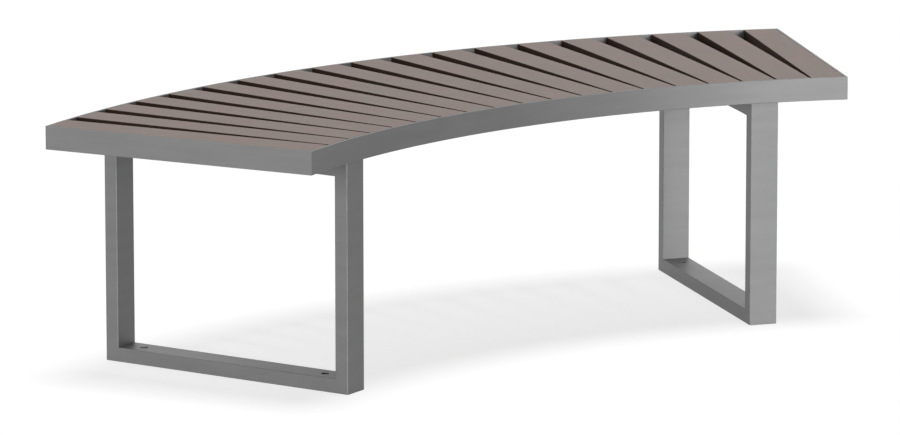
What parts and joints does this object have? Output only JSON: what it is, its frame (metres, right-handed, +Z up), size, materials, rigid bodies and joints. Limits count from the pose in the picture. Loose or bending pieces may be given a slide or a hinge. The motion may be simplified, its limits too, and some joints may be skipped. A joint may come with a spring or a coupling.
{
  "type": "curved backless garden bench",
  "caption": "Curved backless garden bench with radial composite slats in a flat steel rim, standing on closed rectangular tube leg frames.",
  "frame": {"origin": "on the floor, under the middle of the bench's footprint", "axes": "+X along the bench to the right of someone who stands on its hollow side and faces it, +Y from the hollow side to the outer curved side, +Z up"},
  "size_m": [1.6268, 0.6567, 0.4445],
  "materials": {
    "steel": "satin grey powder coat over steel",
    "slats": "matte taupe recycled-plastic composite with a fine mottle"
  },
  "bodies": {
    "root": {"slat_01": "slats", "slat_02": "slats", "slat_03": "slats", "slat_04": "slats", "slat_05": "slats", "slat_06": "slats", "slat_07": "slats", "slat_08": "slats", "slat_09": "slats", "slat_10": "slats", "slat_11": "slats", "slat_12": "slats", "slat_13": "slats", "slat_14": "slats", "slat_15": "slats", "slat_16": "slats", "slat_17": "slats", "slat_18": "slats", "slat_19": "slats", "front_rim": "steel", "rear_rim": "steel", "left_end_rim": "steel", "right_end_rim": "steel", "front_ledge": "steel", "rear_ledge": "steel", "centre_brace": "steel", "left_leg_front_post": "steel", "left_leg_rear_post": "steel", "left_leg_top_bar": "steel", "left_leg_bottom_bar": "steel", "right_leg_front_post": "steel", "right_leg_rear_post": "steel", "right_leg_top_bar": "steel", "right_leg_bottom_bar": "steel"}
  },
  "joints": []
}
